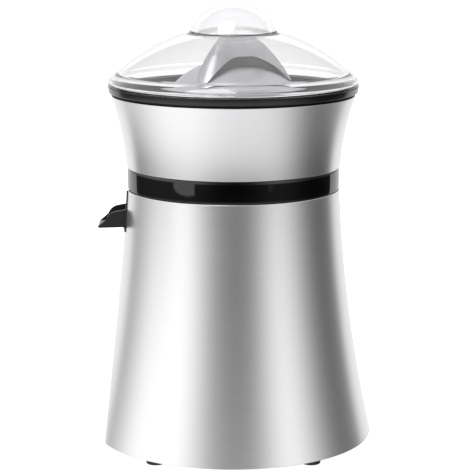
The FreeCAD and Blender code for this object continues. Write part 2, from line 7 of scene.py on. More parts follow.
# %% Load the frame
import json
import bmesh
import bpy
import numpy as np
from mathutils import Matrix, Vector


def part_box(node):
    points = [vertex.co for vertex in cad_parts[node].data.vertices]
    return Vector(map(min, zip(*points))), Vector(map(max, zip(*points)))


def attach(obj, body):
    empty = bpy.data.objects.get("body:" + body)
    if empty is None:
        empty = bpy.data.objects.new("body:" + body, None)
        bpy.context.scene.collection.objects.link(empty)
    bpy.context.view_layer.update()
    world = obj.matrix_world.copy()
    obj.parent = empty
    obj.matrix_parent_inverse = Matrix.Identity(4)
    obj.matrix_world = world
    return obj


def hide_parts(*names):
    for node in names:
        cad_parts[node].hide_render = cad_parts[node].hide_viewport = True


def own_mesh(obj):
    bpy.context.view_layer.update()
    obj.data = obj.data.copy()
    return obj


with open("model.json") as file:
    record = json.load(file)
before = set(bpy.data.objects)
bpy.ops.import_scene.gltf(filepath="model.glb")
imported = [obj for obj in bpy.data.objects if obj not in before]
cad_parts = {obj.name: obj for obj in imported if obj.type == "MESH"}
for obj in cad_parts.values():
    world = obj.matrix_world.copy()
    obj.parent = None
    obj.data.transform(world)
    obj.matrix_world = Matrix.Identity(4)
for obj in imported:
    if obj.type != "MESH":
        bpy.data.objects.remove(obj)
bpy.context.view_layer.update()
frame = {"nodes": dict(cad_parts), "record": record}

nodes = frame["nodes"]
scene = bpy.context.scene

# %% [markdown]
# ## Camera and studio
# Product pictures of steel are taken with a long lens inside a light tent, because steel shows
# whatever stands round it. A 140 mm lens 1.2 m away keeps the sides of the press almost
# parallel. The camera looks down by 11 degrees.

# %% Camera
MM = 0.001
CAMERA_AT = np.array([1.1, -1226.0, 381.0]) * MM
CAMERA_PITCH_DEG = 11.03
LENS_MM = 140.2

camera_data = bpy.data.cameras.new("camera")
camera_data.lens = LENS_MM
camera_data.sensor_width = 36.0
camera = bpy.data.objects.new("camera", camera_data)
camera.location = CAMERA_AT
camera.rotation_euler = (np.radians(90 - CAMERA_PITCH_DEG), 0, 0)
scene.collection.objects.link(camera)
scene.camera = camera
scene.view_settings.view_transform = "Standard"
print("camera", tuple(camera.location))


# %% [markdown]
# ## Small helpers for node materials
# Colours are chosen as hex values, as in any paint program, and Blender wants them linear, so
# one function converts them. A second one adds a node, sets its sockets and makes its links.

# %% Colour and node helpers
def linear(hex_colour, alpha=1.0):
    """sRGB hex to linear light: small values are divided by 12.92, others follow a 2.4 power."""
    srgb = np.array([int(hex_colour[i:i + 2], 16) for i in (1, 3, 5)]) / 255.0
    light = np.where(srgb <= 0.04045, srgb / 12.92, ((srgb + 0.055) / 1.055) ** 2.4)
    return (*[float(c) for c in light], alpha)


def add(tree, kind, inputs=None, **settings):
    """Adds a node. inputs maps a socket's name or number to a value or to another node's socket."""
    node = tree.nodes.new(kind)
    for key, value in settings.items():
        setattr(node, key, value)
    for key, value in (inputs or {}).items():
        socket = node.inputs[key]
        if isinstance(value, bpy.types.NodeSocket):
            tree.links.new(value, socket)
        else:
            socket.default_value = value
    return node


def new_material(name):
    material = bpy.data.materials.new(name)
    material.use_nodes = True
    material.node_tree.nodes.clear()
    return material, material.node_tree


def finish_material(material, tree, shader):
    add(tree, "ShaderNodeOutputMaterial", {"Surface": shader.outputs[0]})
    print("material", material.name)
    return material


# %% [markdown]
# ## The light tent
# The tent is the world: a broad bright card at the front left, a narrower one at the front
# right, black flags between them and at the right, white behind and overhead. A ramp over the
# compass angle holds the cards. Below the horizon the white table top takes over, so a second
# ramp is mixed in there. Between wall and table runs a dark strip, which the upright black
# rings mirror; it stops short of the back, and two windows in it give the rings their shine.
# Rays that come from the camera see plain white. So do rays that leave the lid, unless they
# bounced off something glossy and crossed four surfaces or more. That is in through one wall
# of the lid, off the cone and out through another: those see the tent, which shades the cone.

# %% The tent's cards
HORIZON_CARDS = [(-180, 1.15), (-140, 0.90), (-121, 0.66), (-104, 1.10), (-86, 1.70), (-45, 1.52),
                 (-34, 1.26), (-20, 0.28), (0, 0.06), (20, 0.10), (38, 1.40), (52, 1.52),
                 (68, 0.88), (86, 0.15), (108, 0.12), (126, 0.42), (146, 0.90), (180, 1.15)]
TABLE_CARDS = [(-180, 1.10), (-150, 1.00), (-125, 0.66), (-104, 0.95), (-80, 1.36), (-40, 1.34),
               (-10, 1.00), (42, 1.04), (60, 0.80), (78, 0.28), (94, 0.15), (112, 0.20),
               (132, 0.52), (156, 0.85), (180, 1.10)]
TENT_STRENGTH = 2.0                         # a ramp's white stands for this level
TABLE_BELOW, TABLE_FULL = -0.14, -0.42      # sine of the angle below the horizon
CEILING_FROM, CEILING_FULL = 0.00, 0.62
WHITE_LEVEL = 1.15
PLAIN_STRENGTH = 1.05                       # the white that the camera sees
NO_BOUNCE, THREE_SURFACES = 0.5, 3.5        # a count plus a half; each wall has two surfaces
STRIP_TOP, STRIP_TOP_SOFT = -0.13, -0.10
STRIP_FOOT, STRIP_FOOT_SOFT = -0.22, -0.43
STRIP_END_DEG, STRIP_DARK = 129.0, 0.12
OVAL_WINDOW = (-50.0, -0.139, 17.0, 0.052)  # compass angle, sine of height, half width, half height
OVAL_CUT_DEG, OVAL_LEVEL = -42.0, 1.5
CUT_SOFT_DEG, STRIP_END_SOFT_DEG = 0.7, 1.0  # half the width of a soft edge
WINDOW_SOFT = 0.08
SMALL_WINDOW, SMALL_LEVEL = (39.6, -0.139, 2.5, 0.026), 0.35


def grey(level):
    return (level / TENT_STRENGTH,) * 3 + (1.0,)


def card_ramp(tree, factor, cards):
    ramp = add(tree, "ShaderNodeValToRGB", {"Fac": factor})
    ramp.color_ramp.interpolation = "B_SPLINE"
    while len(ramp.color_ramp.elements) < len(cards):
        ramp.color_ramp.elements.new(0.5)
    for stop, (degrees, level) in zip(ramp.color_ramp.elements, cards):
        stop.position = (degrees + 180) / 360
        stop.color = grey(level)
    return ramp


def window(tree, wall, at_deg, at_sine, half_deg, half_sine):
    """Ellipse on the tent's wall: 1 where the distance from its middle, in half axes, is under 1."""
    scale = np.array([1 / np.radians(half_deg), 1 / half_sine])
    shift = -scale * [np.radians(at_deg), at_sine]
    centred = add(tree, "ShaderNodeMapping", {"Vector": wall.outputs[0], "Location": (*shift, 0),
                                              "Scale": (*scale, 1)})
    reach = add(tree, "ShaderNodeVectorMath", {0: centred.outputs[0]}, operation="LENGTH")
    return add(tree, "ShaderNodeMapRange", {0: reach.outputs["Value"], 1: 1 + WINDOW_SOFT,
                                            2: 1 - WINDOW_SOFT})


print("light tent with", len(HORIZON_CARDS), "cards")

# %% The tent's directions
world = bpy.data.worlds.new("light_tent")
world.use_nodes = True
sky = world.node_tree
sky.nodes.clear()
direction = add(sky, "ShaderNodeTexCoord")
xyz = add(sky, "ShaderNodeSeparateXYZ", {0: direction.outputs["Generated"]})
height = xyz.outputs[2]
towards_camera = add(sky, "ShaderNodeMath", {0: xyz.outputs[1], 1: -1.0}, operation="MULTIPLY")
compass = add(sky, "ShaderNodeMath", {0: xyz.outputs[0], 1: towards_camera.outputs[0]},
              operation="ARCTAN2")
round_turn = add(sky, "ShaderNodeMapRange", {0: compass.outputs[0], 1: -np.pi, 2: np.pi})
wall_plane = add(sky, "ShaderNodeCombineXYZ", {0: compass.outputs[0], 1: height})
upper = card_ramp(sky, round_turn.outputs[0], HORIZON_CARDS)
lower = card_ramp(sky, round_turn.outputs[0], TABLE_CARDS)
below = add(sky, "ShaderNodeMapRange", {0: height, 1: TABLE_BELOW, 2: TABLE_FULL},
            interpolation_type="SMOOTHSTEP")
cards = add(sky, "ShaderNodeMix", {0: below.outputs[0], 6: upper.outputs[0], 7: lower.outputs[0]},
            data_type="RGBA")
print("ramps for wall and table")

# %% The dark strip, its windows and the ceiling
under_top = add(sky, "ShaderNodeMapRange", {0: height, 1: STRIP_TOP_SOFT, 2: STRIP_TOP})
over_foot = add(sky, "ShaderNodeMapRange", {0: height, 1: STRIP_FOOT_SOFT, 2: STRIP_FOOT},
                interpolation_type="SMOOTHSTEP")
in_strip = add(sky, "ShaderNodeMath", {0: under_top.outputs[0], 1: over_foot.outputs[0]},
               operation="MULTIPLY")
round_back = add(sky, "ShaderNodeMath", {0: compass.outputs[0]}, operation="ABSOLUTE")
at_end = add(sky, "ShaderNodeMapRange", {0: round_back.outputs[0],
                                         1: np.radians(STRIP_END_DEG - STRIP_END_SOFT_DEG),
                                         2: np.radians(STRIP_END_DEG + STRIP_END_SOFT_DEG)})
dimmed = add(sky, "ShaderNodeVectorMath", {0: cards.outputs[2], "Scale": STRIP_DARK}, operation="SCALE")
strip = add(sky, "ShaderNodeMix", {0: at_end.outputs[0], 6: dimmed.outputs[0], 7: grey(WHITE_LEVEL)},
            data_type="RGBA")
lit = add(sky, "ShaderNodeMix", {0: in_strip.outputs[0], 6: cards.outputs[2], 7: strip.outputs[2]},
          data_type="RGBA")
cut = add(sky, "ShaderNodeMapRange", {0: compass.outputs[0], 1: np.radians(OVAL_CUT_DEG + CUT_SOFT_DEG),
                                      2: np.radians(OVAL_CUT_DEG - CUT_SOFT_DEG)})
oval = add(sky, "ShaderNodeMath", {0: window(sky, wall_plane, *OVAL_WINDOW).outputs[0], 1: cut.outputs[0]},
           operation="MULTIPLY")
spot = window(sky, wall_plane, *SMALL_WINDOW)
ceiling = add(sky, "ShaderNodeMapRange", {0: height, 1: CEILING_FROM, 2: CEILING_FULL},
              interpolation_type="SMOOTHSTEP")
for where, level in ((oval, OVAL_LEVEL), (spot, SMALL_LEVEL), (ceiling, WHITE_LEVEL)):
    lit = add(sky, "ShaderNodeMix", {0: where.outputs[0], 6: lit.outputs[2], 7: grey(level)},
              data_type="RGBA")
print("dark strip from", -STRIP_END_DEG, "to", STRIP_END_DEG, "degrees")

# %% What each ray sees
tent = add(sky, "ShaderNodeBackground", {"Color": lit.outputs[2], "Strength": TENT_STRENGTH})
plain = add(sky, "ShaderNodeBackground", {"Color": (1, 1, 1, 1), "Strength": PLAIN_STRENGTH})
path = add(sky, "ShaderNodeLightPath")
no_gloss = add(sky, "ShaderNodeMath", {0: path.outputs["Glossy Depth"], 1: NO_BOUNCE},
               operation="LESS_THAN")
few_surfaces = add(sky, "ShaderNodeMath", {0: path.outputs["Transmission Depth"], 1: THREE_SURFACES},
                operation="LESS_THAN")
off_lid = add(sky, "ShaderNodeMath", {0: no_gloss.outputs[0], 1: few_surfaces.outputs[0]},
              operation="MAXIMUM")
through_lid = add(sky, "ShaderNodeMath", {0: path.outputs["Is Transmission Ray"], 1: off_lid.outputs[0]},
                  operation="MULTIPLY")
by_camera = add(sky, "ShaderNodeMath", {0: path.outputs["Is Camera Ray"], 1: through_lid.outputs[0]},
                operation="MAXIMUM")
seen = add(sky, "ShaderNodeMixShader", {0: by_camera.outputs[0], 1: tent.outputs[0], 2: plain.outputs[0]})
add(sky, "ShaderNodeOutputWorld", {"Surface": seen.outputs[0]})
scene.world = world
print("world", world.name)

# %% [markdown]
# ## Lamps and floor
# A soft lamp overhead adds a direction, which a tent alone doesn't have. The floor is a wide
# pale sheet that glows, as an overexposed table top does in a picture with a white ground.
# Steel sees the tent's table instead of this sheet.


# %% Lamps
def lamp(name, at_mm, aim_mm, size_mm, watts):
    light = bpy.data.lights.new(name, "AREA")
    light.shape = "ELLIPSE"
    light.size, light.size_y = size_mm[0] * MM, size_mm[1] * MM
    light.energy = watts
    holder = bpy.data.objects.new(name, light)
    scene.collection.objects.link(holder)
    at, aim = np.array(at_mm) * MM, np.array(aim_mm) * MM
    holder.location = at
    holder.rotation_euler = Vector(aim - at).to_track_quat("-Z", "Y").to_euler()
    holder.visible_camera = False
    return holder


top_lamp = lamp("top_lamp", (-300, -500, 1200), (0, 0, 150), (700, 700), 5.0)
print("lamp of", top_lamp.data.energy, "watts")


# %% Floor
def grid_object(name, points, close_u=False, close_v=False, smooth=True):
    """Mesh from a grid of points (rows, columns, xyz). Each face joins four neighbours."""
    rows, columns = points.shape[:2]
    index = np.arange(rows * columns).reshape(rows, columns)
    if close_u:
        index = np.vstack([index, index[:1]])
    if close_v:
        index = np.hstack([index, index[:, :1]])
    quads = np.stack([index[:-1, :-1], index[:-1, 1:], index[1:, 1:], index[1:, :-1]], -1).reshape(-1, 4)
    mesh = bpy.data.meshes.new(name)
    mesh.from_pydata((points.reshape(-1, 3) * MM).tolist(), [], quads.tolist())
    mesh.polygons.foreach_set("use_smooth", np.full(len(quads), smooth))
    piece = bpy.data.objects.new(name, mesh)
    scene.collection.objects.link(piece)
    return piece


FLOOR_HALF = 3000.0
ends = np.array([-FLOOR_HALF, FLOOR_HALF])
floor_x, floor_y = np.meshgrid(ends, ends)
floor = grid_object("floor", np.dstack([floor_x, floor_y, np.zeros((2, 2))]))
paper, tree = new_material("white_paper_sweep")
grain = add(tree, "ShaderNodeTexNoise", {"Scale": 900.0, "Detail": 3.0})
tone = add(tree, "ShaderNodeMix", {0: grain.outputs[0], 6: linear("#F6F6F6"), 7: linear("#FBFBFB")},
           data_type="RGBA")
shader = add(tree, "ShaderNodeBsdfPrincipled", {"Base Color": tone.outputs[2], "Roughness": 0.9,
                                                "Emission Color": (1, 1, 1, 1), "Emission Strength": 1.0})
floor.data.materials.append(finish_material(paper, tree, shader))
floor.visible_glossy = floor.visible_diffuse = floor.visible_shadow = False
print("floor", 2 * FLOOR_HALF, "mm wide")

# %% [markdown]
# ## Brushed steel
# The clothes of the press are stainless sheet, spun over a form and then brushed round and
# round with abrasive. Brushing leaves fine lines, so reflections smear across them and the
# tent's cards become soft upright bands. Real lines are some 0.05 mm apart; here they are
# drawn about 0.3 mm apart. A noise that is squeezed along the axis and stretched round it draws
# them, in tint, bump and roughness.


# %% Brushed steel
def stretched_noise(tree, scale_xy, scale_z, detail=3.0):
    """Noise on object coordinates: coarse round the axis, fine along it, or the other way."""
    coordinates = add(tree, "ShaderNodeTexCoord")
    squeeze = add(tree, "ShaderNodeMapping", {"Vector": coordinates.outputs["Object"],
                                              "Scale": (scale_xy, scale_xy, scale_z)})
    return add(tree, "ShaderNodeTexNoise", {"Vector": squeeze.outputs[0], "Scale": 1.0,
                                            "Detail": detail, "Roughness": 0.6})


def spread(tree, noise, low, high):
    """Carries the middle of a noise, 0.3 to 0.7, to the values low to high."""
    return add(tree, "ShaderNodeMapRange", {0: noise.outputs[0], 1: 0.3, 2: 0.7, 3: low, 4: high})


def metal(name, light_hex, dark_hex, rough_low, rough_high, noise_xy, noise_z, bump_mm):
    """A metal whose tint, roughness and bump all follow the marks of its last tool."""
    material, tree = new_material(name)
    lines = stretched_noise(tree, noise_xy, noise_z)
    tint = add(tree, "ShaderNodeMix", {0: spread(tree, lines, 0.0, 1.0).outputs[0],
                                       6: linear(dark_hex), 7: linear(light_hex)}, data_type="RGBA")
    relief = add(tree, "ShaderNodeBump", {"Height": lines.outputs[0], "Distance": bump_mm * MM,
                                          "Strength": 1.0})
    shader = add(tree, "ShaderNodeBsdfPrincipled", {
        "Base Color": tint.outputs[2], "Metallic": 1.0, "Normal": relief.outputs[0],
        "Roughness": spread(tree, lines, rough_low, rough_high).outputs[0]})
    return finish_material(material, tree, shader)


BRUSHED = metal("brushed_stainless_sheet", "#E4E4E5", "#DFDFE1", 0.29, 0.32, 60.0, 3000.0, 0.0012)
SATIN = metal("satin_stainless_pressing", "#C4C4C6", "#BABABD", 0.34, 0.40, 1500.0, 1500.0, 0.0015)
# The cone's darker tint is painted shade for the dark bowl and collar that it mirrors under the lid; its
# higher roughness is the blasting.
REAMER_STEEL = metal("blasted_stainless_cone_with_painted_shade", "#BEBEC0", "#B2B2B5", 0.44, 0.50, 1500.0, 1500.0, 0.002)
BRIGHT = metal("turned_bright_steel", "#D4D4D6", "#BDBDC0", 0.12, 0.22, 60.0, 2500.0, 0.004)
ZINC = metal("zinc_plated_steel", "#CACCD0", "#A9ACB2", 0.22, 0.38, 700.0, 700.0, 0.006)
CORE = metal("oiled_core_laminations", "#6B6C70", "#3F4044", 0.35, 0.50, 25.0, 2000.0, 0.03)
COPPER = metal("enamelled_copper_winding", "#B4602C", "#7E3A14", 0.18, 0.30, 25.0, 1300.0, 0.12)
CASTING = metal("die_cast_alloy", "#9A9B9C", "#77787A", 0.45, 0.62, 500.0, 500.0, 0.03)
BRONZE = metal("sintered_bronze", "#9C7442", "#7C5A30", 0.38, 0.52, 1500.0, 1500.0, 0.01)
BRASS = metal("hobbed_brass", "#C9A552", "#A9853A", 0.18, 0.30, 1200.0, 200.0, 0.006)

# %% [markdown]
# ## Plastics and rubber
# The waist band is polished ABS, so it mirrors the tent's cards in black. The collar and the
# spout have the fine spark-eroded grain of their mould, 0.4 mm across, and the collar is the
# smoother of the two. The strainer is matt, and its IOR of 1.30 is lower than the 1.49 of real
# polypropylene, which makes it mirror less. The feet are dull rubber.


# %% Plastics and rubber
def moulded(name, light_hex, dark_hex, rough, grain_mm, bump_mm, ior=1.5):
    """Opaque plastic with the grain of its mould. The noise's scale is one over the grain."""
    material, tree = new_material(name)
    grain = stretched_noise(tree, 1000.0 / grain_mm, 1000.0 / grain_mm, 2.0)
    clouds = stretched_noise(tree, 40.0, 40.0, 2.0)
    tint = add(tree, "ShaderNodeMix", {0: spread(tree, clouds, 0.0, 1.0).outputs[0],
                                       6: linear(dark_hex), 7: linear(light_hex)}, data_type="RGBA")
    relief = add(tree, "ShaderNodeBump", {"Height": grain.outputs[0], "Distance": bump_mm * MM,
                                          "Strength": 1.0})
    shader = add(tree, "ShaderNodeBsdfPrincipled", {
        "Base Color": tint.outputs[2], "Normal": relief.outputs[0], "IOR": ior,
        "Roughness": spread(tree, grain, rough - 0.03, rough + 0.03).outputs[0]})
    return finish_material(material, tree, shader)


GLOSS_BLACK = moulded("polished_black_abs", "#070707", "#040404", 0.05, 3.0, 0.001, 1.53)
COLLAR_BLACK = moulded("fine_satin_black_abs", "#101011", "#0C0C0D", 0.20, 0.4, 0.004, 1.53)
BLACK = moulded("grained_black_abs", "#1F1F20", "#181819", 0.34, 0.4, 0.006, 1.53)
STRAINER_BLACK = moulded("matt_black_polypropylene", "#0E0E0F", "#0A0A0B", 0.50, 0.5, 0.006, 1.30)
GREY = moulded("smooth_grey_polypropylene", "#5A5B5D", "#4C4D4F", 0.30, 1.0, 0.003, 1.49)
WHITE = moulded("white_nylon", "#E9E7E0", "#DCD9D0", 0.36, 0.6, 0.004, 1.53)
RUBBER = moulded("dull_black_rubber", "#1C1C1C", "#141414", 0.62, 0.5, 0.01, 1.52)

# %% [markdown]
# ## Clear lid plastic
# The lid is injection moulded styrene acrylonitrile, 2 mm thick, as clear as glass. A wall with
# two sides and an IOR of 1.57 bends light, which darkens the turned rim and the round knob's
# outline. Its reflection is turned down from the usual 0.5 to 0.15, below that of real plastic,
# so that less of the tent shows in it. A faint bump stands for the slow waves of a mould.

# %% Clear plastic
clear, tree = new_material("clear_styrene_lid")
waves = stretched_noise(tree, 18.0, 18.0, 1.0)
relief = add(tree, "ShaderNodeBump", {"Height": waves.outputs[0], "Distance": 0.02 * MM, "Strength": 1.0})
shader = add(tree, "ShaderNodeBsdfPrincipled", {
    "Base Color": linear("#FDFDFE"), "Roughness": 0.0, "IOR": 1.57, "Transmission Weight": 1.0,
    "Specular IOR Level": 0.15, "Normal": relief.outputs[0]})
CLEAR = finish_material(clear, tree, shader)

# %% [markdown]
# ## Finishes for the CAD nodes
# Each CAD node keeps its exact mesh. Its record names a material slot, and that slot picks the
# finish here, so nothing is left in flat grey.

# %% Dress the CAD nodes
FINISHES = {
    "brushed_steel": BRUSHED, "satin_steel": SATIN, "gloss_black_plastic": GLOSS_BLACK,
    "black_plastic": BLACK, "grey_plastic": GREY, "white_plastic": WHITE, "clear_plastic": CLEAR,
    "rubber": RUBBER, "core_steel": CORE, "copper_winding": COPPER, "cast_alloy": CASTING,
    "bronze_bush": BRONZE, "bright_steel": BRIGHT, "zinc_screw": ZINC, "brass_gear": BRASS}
slot_of = {part["node"]: part["material_slot"] for part in frame["record"]["subparts"]}
for name, node in nodes.items():
    for slot in node.material_slots:
        slot.material = STRAINER_BLACK if name == "strainer" else FINISHES[slot_of[name]]
print("dressed", len(nodes), "nodes in", len(set(slot_of.values())), "finishes")

# %% [markdown]
# ## Turned shapes
# Most of the press is turned: a profile goes round the axis. The profiles are drawn in radius
# and height, with arcs through three points where the CAD has them, and small roundings where
# real edges are broken. Bright lines on edges come from those roundings.


# %% Profiles and turning
def arc(start, middle, end, count):
    """Circle through three points. Its centre is where the two perpendicular bisectors meet."""
    a, b, c = (np.array(p, float) for p in (start, middle, end))
    centre = np.linalg.solve(2 * np.array([b - a, c - a]), [b @ b - a @ a, c @ c - a @ a])
    angles = np.unwrap([np.arctan2(*(p - centre)[::-1]) for p in (a, b, c)])
    t = np.linspace(angles[0], angles[2], count)
    radius = np.hypot(*(a - centre))
    return centre + radius * np.stack([np.cos(t), np.sin(t)], -1)


def eased(points, radii, steps=4):
    """Polyline with rounded corners: a parabola bends from one leg of the corner to the next."""
    points = np.array(points, float)
    out = [points[:1]]
    t = np.linspace(0, 1, steps + 1)[:, None]
    for i, radius in enumerate(radii, 1):
        before, corner, after = points[i - 1], points[i], points[i + 1]
        if radius == 0:
            out.append(corner[None])
            continue
        into, away = before - corner, after - corner
        start = corner + into / np.linalg.norm(into) * min(radius, 0.49 * np.linalg.norm(into))
        end = corner + away / np.linalg.norm(away) * min(radius, 0.49 * np.linalg.norm(away))
        out.append((1 - t) ** 2 * start + 2 * t * (1 - t) * corner + t ** 2 * end)
    out.append(points[-1:])
    return np.vstack(out)


def turn(profile, segments=256):
    """Point = (r cos a, r sin a, z) for every profile point (r, z) and angle a."""
    angle = np.linspace(0, 2 * np.pi, segments, endpoint=False)
    r, z = profile[:, :1], profile[:, 1:]
    return np.stack([r * np.cos(angle), r * np.sin(angle), z + 0 * angle], -1)


def merge_poles(piece):
    """Joins points that fall together, at the poles and seams, and drops faces with no area."""
    work = bmesh.new()
    work.from_mesh(piece.data)
    bmesh.ops.remove_doubles(work, verts=work.verts, dist=0.002 * MM)
    bmesh.ops.dissolve_degenerate(work, edges=work.edges, dist=0.001 * MM)
    work.to_mesh(piece.data)
    work.free()


def place(piece, material, body, slot, *replaced):
    """Gives a finished piece its finish, its body and the CAD nodes that it covers. Its slot is not used.
    """
    piece.data.materials.append(material)
    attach(piece, body)
    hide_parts(*replaced)
    low, high = (np.array(corner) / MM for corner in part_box(replaced[0]))
    points = np.array([corner.co for corner in piece.data.vertices]) / MM
    print(piece.name, len(piece.data.polygons), "faces; outside the CAD box by",
          np.round(np.maximum(low - points.min(0), points.max(0) - high).max(), 2), "mm")


def sheet_metal(piece, wall, edge_round):
    """Gives a surface the thickness of its sheet, inwards, and breaks its cut edges."""
    solid = piece.modifiers.new("wall", "SOLIDIFY")
    solid.thickness, solid.offset, solid.use_even_offset = wall * MM, -1.0, True
    edges = piece.modifiers.new("broken_edges", "BEVEL")
    edges.width, edges.segments = edge_round * MM, 3
    edges.limit_method, edges.angle_limit = "ANGLE", np.radians(50)
    edges.harden_normals = True
    return solid


def hemmed_sheet(piece, is_hem):
    """Sheet SHEET thick that is double where it is folded. is_hem tells that from the height."""
    solid = sheet_metal(piece, 2 * SHEET, 0.3)
    folded = is_hem(np.array([corner.co.z for corner in piece.data.vertices]) / MM)
    group = piece.vertex_groups.new(name="thickness")
    group.add(np.flatnonzero(~folded).tolist(), 0.5, "REPLACE")
    group.add(np.flatnonzero(folded).tolist(), 1.0, "REPLACE")
    solid.vertex_group = group.name


# %% [markdown]
# ## The flared skirt
# The real skirt is a spun steel trumpet, 0.9 mm thick, with its top edge folded inside. Under
# the spout it is pressed flat, so that a glass stands close, and above the flat it has a slot
# for the spout. The surface is a grid of heights and of columns that crowd together along the
# flat's creases and the slot's sides, so both stay sharp.

# %% Skirt
SHEET = 0.9                               # thickness of the skirt and of the jacket
SKIRT_FOOT, SKIRT_TOP, SKIRT_HEM = 6.0, 175.3, 172.5
SLOT_HALF, SLOT_FLOOR = 15.5, 147.0
SKIRT_ARC = ((95.0, SKIRT_FOOT), (80.4, 86.0), (72.2, SKIRT_TOP))
FLAT_TOP = 101.0
FLAT_ARC = ((87.1, SKIRT_FOOT), (81.5, 66.0), (78.3, FLAT_TOP))
# The even columns reach at least LEAST_HALF each way; from WIDEN_FROM up they widen to the slot.
WIDEN_FROM, LEAST_HALF = 84.0, 12.0
FAR_OUT = 200.0                           # above the flat, its plane is out of reach
CREASE_ROUND = 0.25                       # how far the crease is softened


def radius_at(arc_points, z):
    """Radius of the arc at height z, read between finely spaced points of the arc."""
    fine = arc(*arc_points, 400)
    return np.interp(z, fine[:, 1], fine[:, 0])


def softer_smaller(a, b, soft):
    """The smaller of two numbers, with the corner where they change over rounded off."""
    return (a + b) / 2 - np.sqrt((a - b) ** 2 / 4 + soft ** 2) + soft


def skirt_surface(z, columns_flat=48, columns_round=232):
    """Circle of the skirt at each height, cut by the flat. Distance towards the spout is the
    smaller of the circle's and the flat's; columns over the flat are spaced evenly across it."""
    radius = radius_at(SKIRT_ARC, z)
    flat = np.where(z <= FLAT_TOP, radius_at(FLAT_ARC, z), FAR_OUT)
    crease = np.sqrt(np.maximum(radius ** 2 - np.minimum(flat, radius) ** 2, 0))
    blend = np.clip((z - WIDEN_FROM) / (SLOT_FLOOR - WIDEN_FROM), 0, 1)
    edge = np.where(z < WIDEN_FROM, np.maximum(crease, LEAST_HALF),
                    LEAST_HALF + (SLOT_HALF - LEAST_HALF) * blend)
    half = np.arcsin(edge / radius)
    across = np.linspace(-1, 1, columns_flat + 1)[:-1]
    side_y = edge[:, None] * across
    side_x = softer_smaller(np.sqrt(radius[:, None] ** 2 - side_y ** 2), flat[:, None], CREASE_ROUND)
    around = np.linspace(0, 1, columns_round, endpoint=False)
    angle = half[:, None] + around * (2 * np.pi - 2 * half[:, None])
    round_y = radius[:, None] * np.sin(angle)
    round_x = softer_smaller(radius[:, None] * np.cos(angle), flat[:, None], CREASE_ROUND)
    x, y = np.hstack([-side_x, -round_x]), np.hstack([-side_y, -round_y])
    return np.stack([x, y, z[:, None] + 0 * x], -1)


def skirt_heights():
    hem = np.linspace(172.8, SKIRT_TOP, 5)
    upper = np.linspace(SLOT_FLOOR, 172.2, 22)
    lower = np.linspace(SKIRT_FOOT, SLOT_FLOOR, 72)[:-1]
    return np.hstack([lower, upper, hem])


heights = skirt_heights()
surface = skirt_surface(heights)
skirt = grid_object("skirt", surface, close_v=True)
middle = np.array([face.center[:] for face in skirt.data.polygons]) / MM
in_slot = (middle[:, 0] < 0) & (np.abs(middle[:, 1]) < SLOT_HALF) & (middle[:, 2] > SLOT_FLOOR)
work = bmesh.new()
work.from_mesh(skirt.data)
work.faces.ensure_lookup_table()
bmesh.ops.delete(work, geom=[work.faces[i] for i in np.flatnonzero(in_slot)], context="FACES")
work.to_mesh(skirt.data)
work.free()
hemmed_sheet(skirt, lambda level: level >= SKIRT_HEM)
place(skirt, BRUSHED, "base", "brushed_steel", "skirt_shell")

# %% [markdown]
# ## The jacket round the bowl
# The bowl wears a second spun sheet that flares upwards. It is the same steel, with the same
# folded hem at its foot.

# %% Bowl jacket
JACKET_HEM = 193.0
JACKET_ARC = ((72.2, 190.5), (75.2, 212.5), (82.2, 238.6))
profile = arc(*JACKET_ARC, 56)
jacket = grid_object("bowl_jacket", turn(profile, 300), close_v=True)
hemmed_sheet(jacket, lambda level: level <= JACKET_HEM)
place(jacket, BRUSHED, "bowl", "brushed_steel", "bowl_jacket")

# %% [markdown]
# ## Waist band and collar
# The glossy waist band is very slightly crowned, as a moulded ring is, so its reflections
# narrow towards its edges. The collar under the lid is a grained ring with rounded corners
# and a step inside, on which the strainer and the lid rest.


# %% Waist band and collar
def ring(name, corners, radii, segments=300):
    """Closed profile with eased corners, turned. It starts and ends inside, where nobody looks."""
    profile = eased(corners, radii)
    return grid_object(name, turn(profile, segments), close_u=True, close_v=True)


band = ring("waist_band", [(70.0, 183.0), (70.0, 175.6), (71.70, 175.6), (71.78, 180.0), (71.8, 183.0),
                           (71.78, 186.0), (71.70, 190.4), (70.0, 190.4)],
            [0.2, 0.6, 4.0, 4.0, 4.0, 0.6])
place(band, GLOSS_BLACK, "bowl", "gloss_black_plastic", "waist_band")
collar = ring("bowl_collar", [(79.6, 242.0), (79.6, 238.0), (80.0, 238.0), (80.0, 240.5), (83.7, 240.5),
                              (84.3, 245.0), (81.6, 245.0), (81.6, 243.0), (79.6, 243.0)],
              [0.1, 0.1, 0.3, 0.5, 0.4, 0.3, 0.1])
place(collar, COLLAR_BLACK, "bowl", "black_plastic", "bowl_collar")

# %% [markdown]
# ## The clear lid
# The lid is clear from side to side: an upright rim with a thin bead, a wide dome, and a round
# hollow knob welded on top. Outer and inner outlines together make one closed profile, so light
# passes two walls as in the real one. The air in the knob is a closed surface of its own, which
# faces the air, as the outside does.

# %% Lid
BALL_R, BALL_AT, BALL_WALL = 32.0, 268.0, 2.0      # radius, centre height and wall of the knob
DOME_ARC = ((77.9, 253.8), (55.8, 269.8), (26.0, 280.6))
rim = eased([(82.2, 245.2), (84.2, 245.2), (84.2, 246.6), (83.8, 247.0), (83.9, 248.0)],
            [0.4, 0.3, 0.2], 3)
shoulder = arc((83.9, 248.0), (81.8, 250.6), (77.9, 253.8), 14)[1:]
dome = arc(*DOME_ARC, 80)[1:]
dome = dome[dome[:, 0] > 32.0]
rise = np.linspace(np.arccos(28.8 / BALL_R), np.pi / 2, 44)
ball = np.stack([BALL_R * np.cos(rise), BALL_AT + BALL_R * np.sin(rise)], -1)
ball[-1, 0] = 0.0
neck = eased([dome[-1], (29.6, 279.8), ball[0]], [1.6], 5)[1:-1]
inner_dome = arc((76.7, 252.2), (54.9, 268.0), (26.0, 278.7), 60)[1:]
crown = arc((26.0, 278.7), (14.0, 281.6), (0.0, 282.8), 24)[1:]
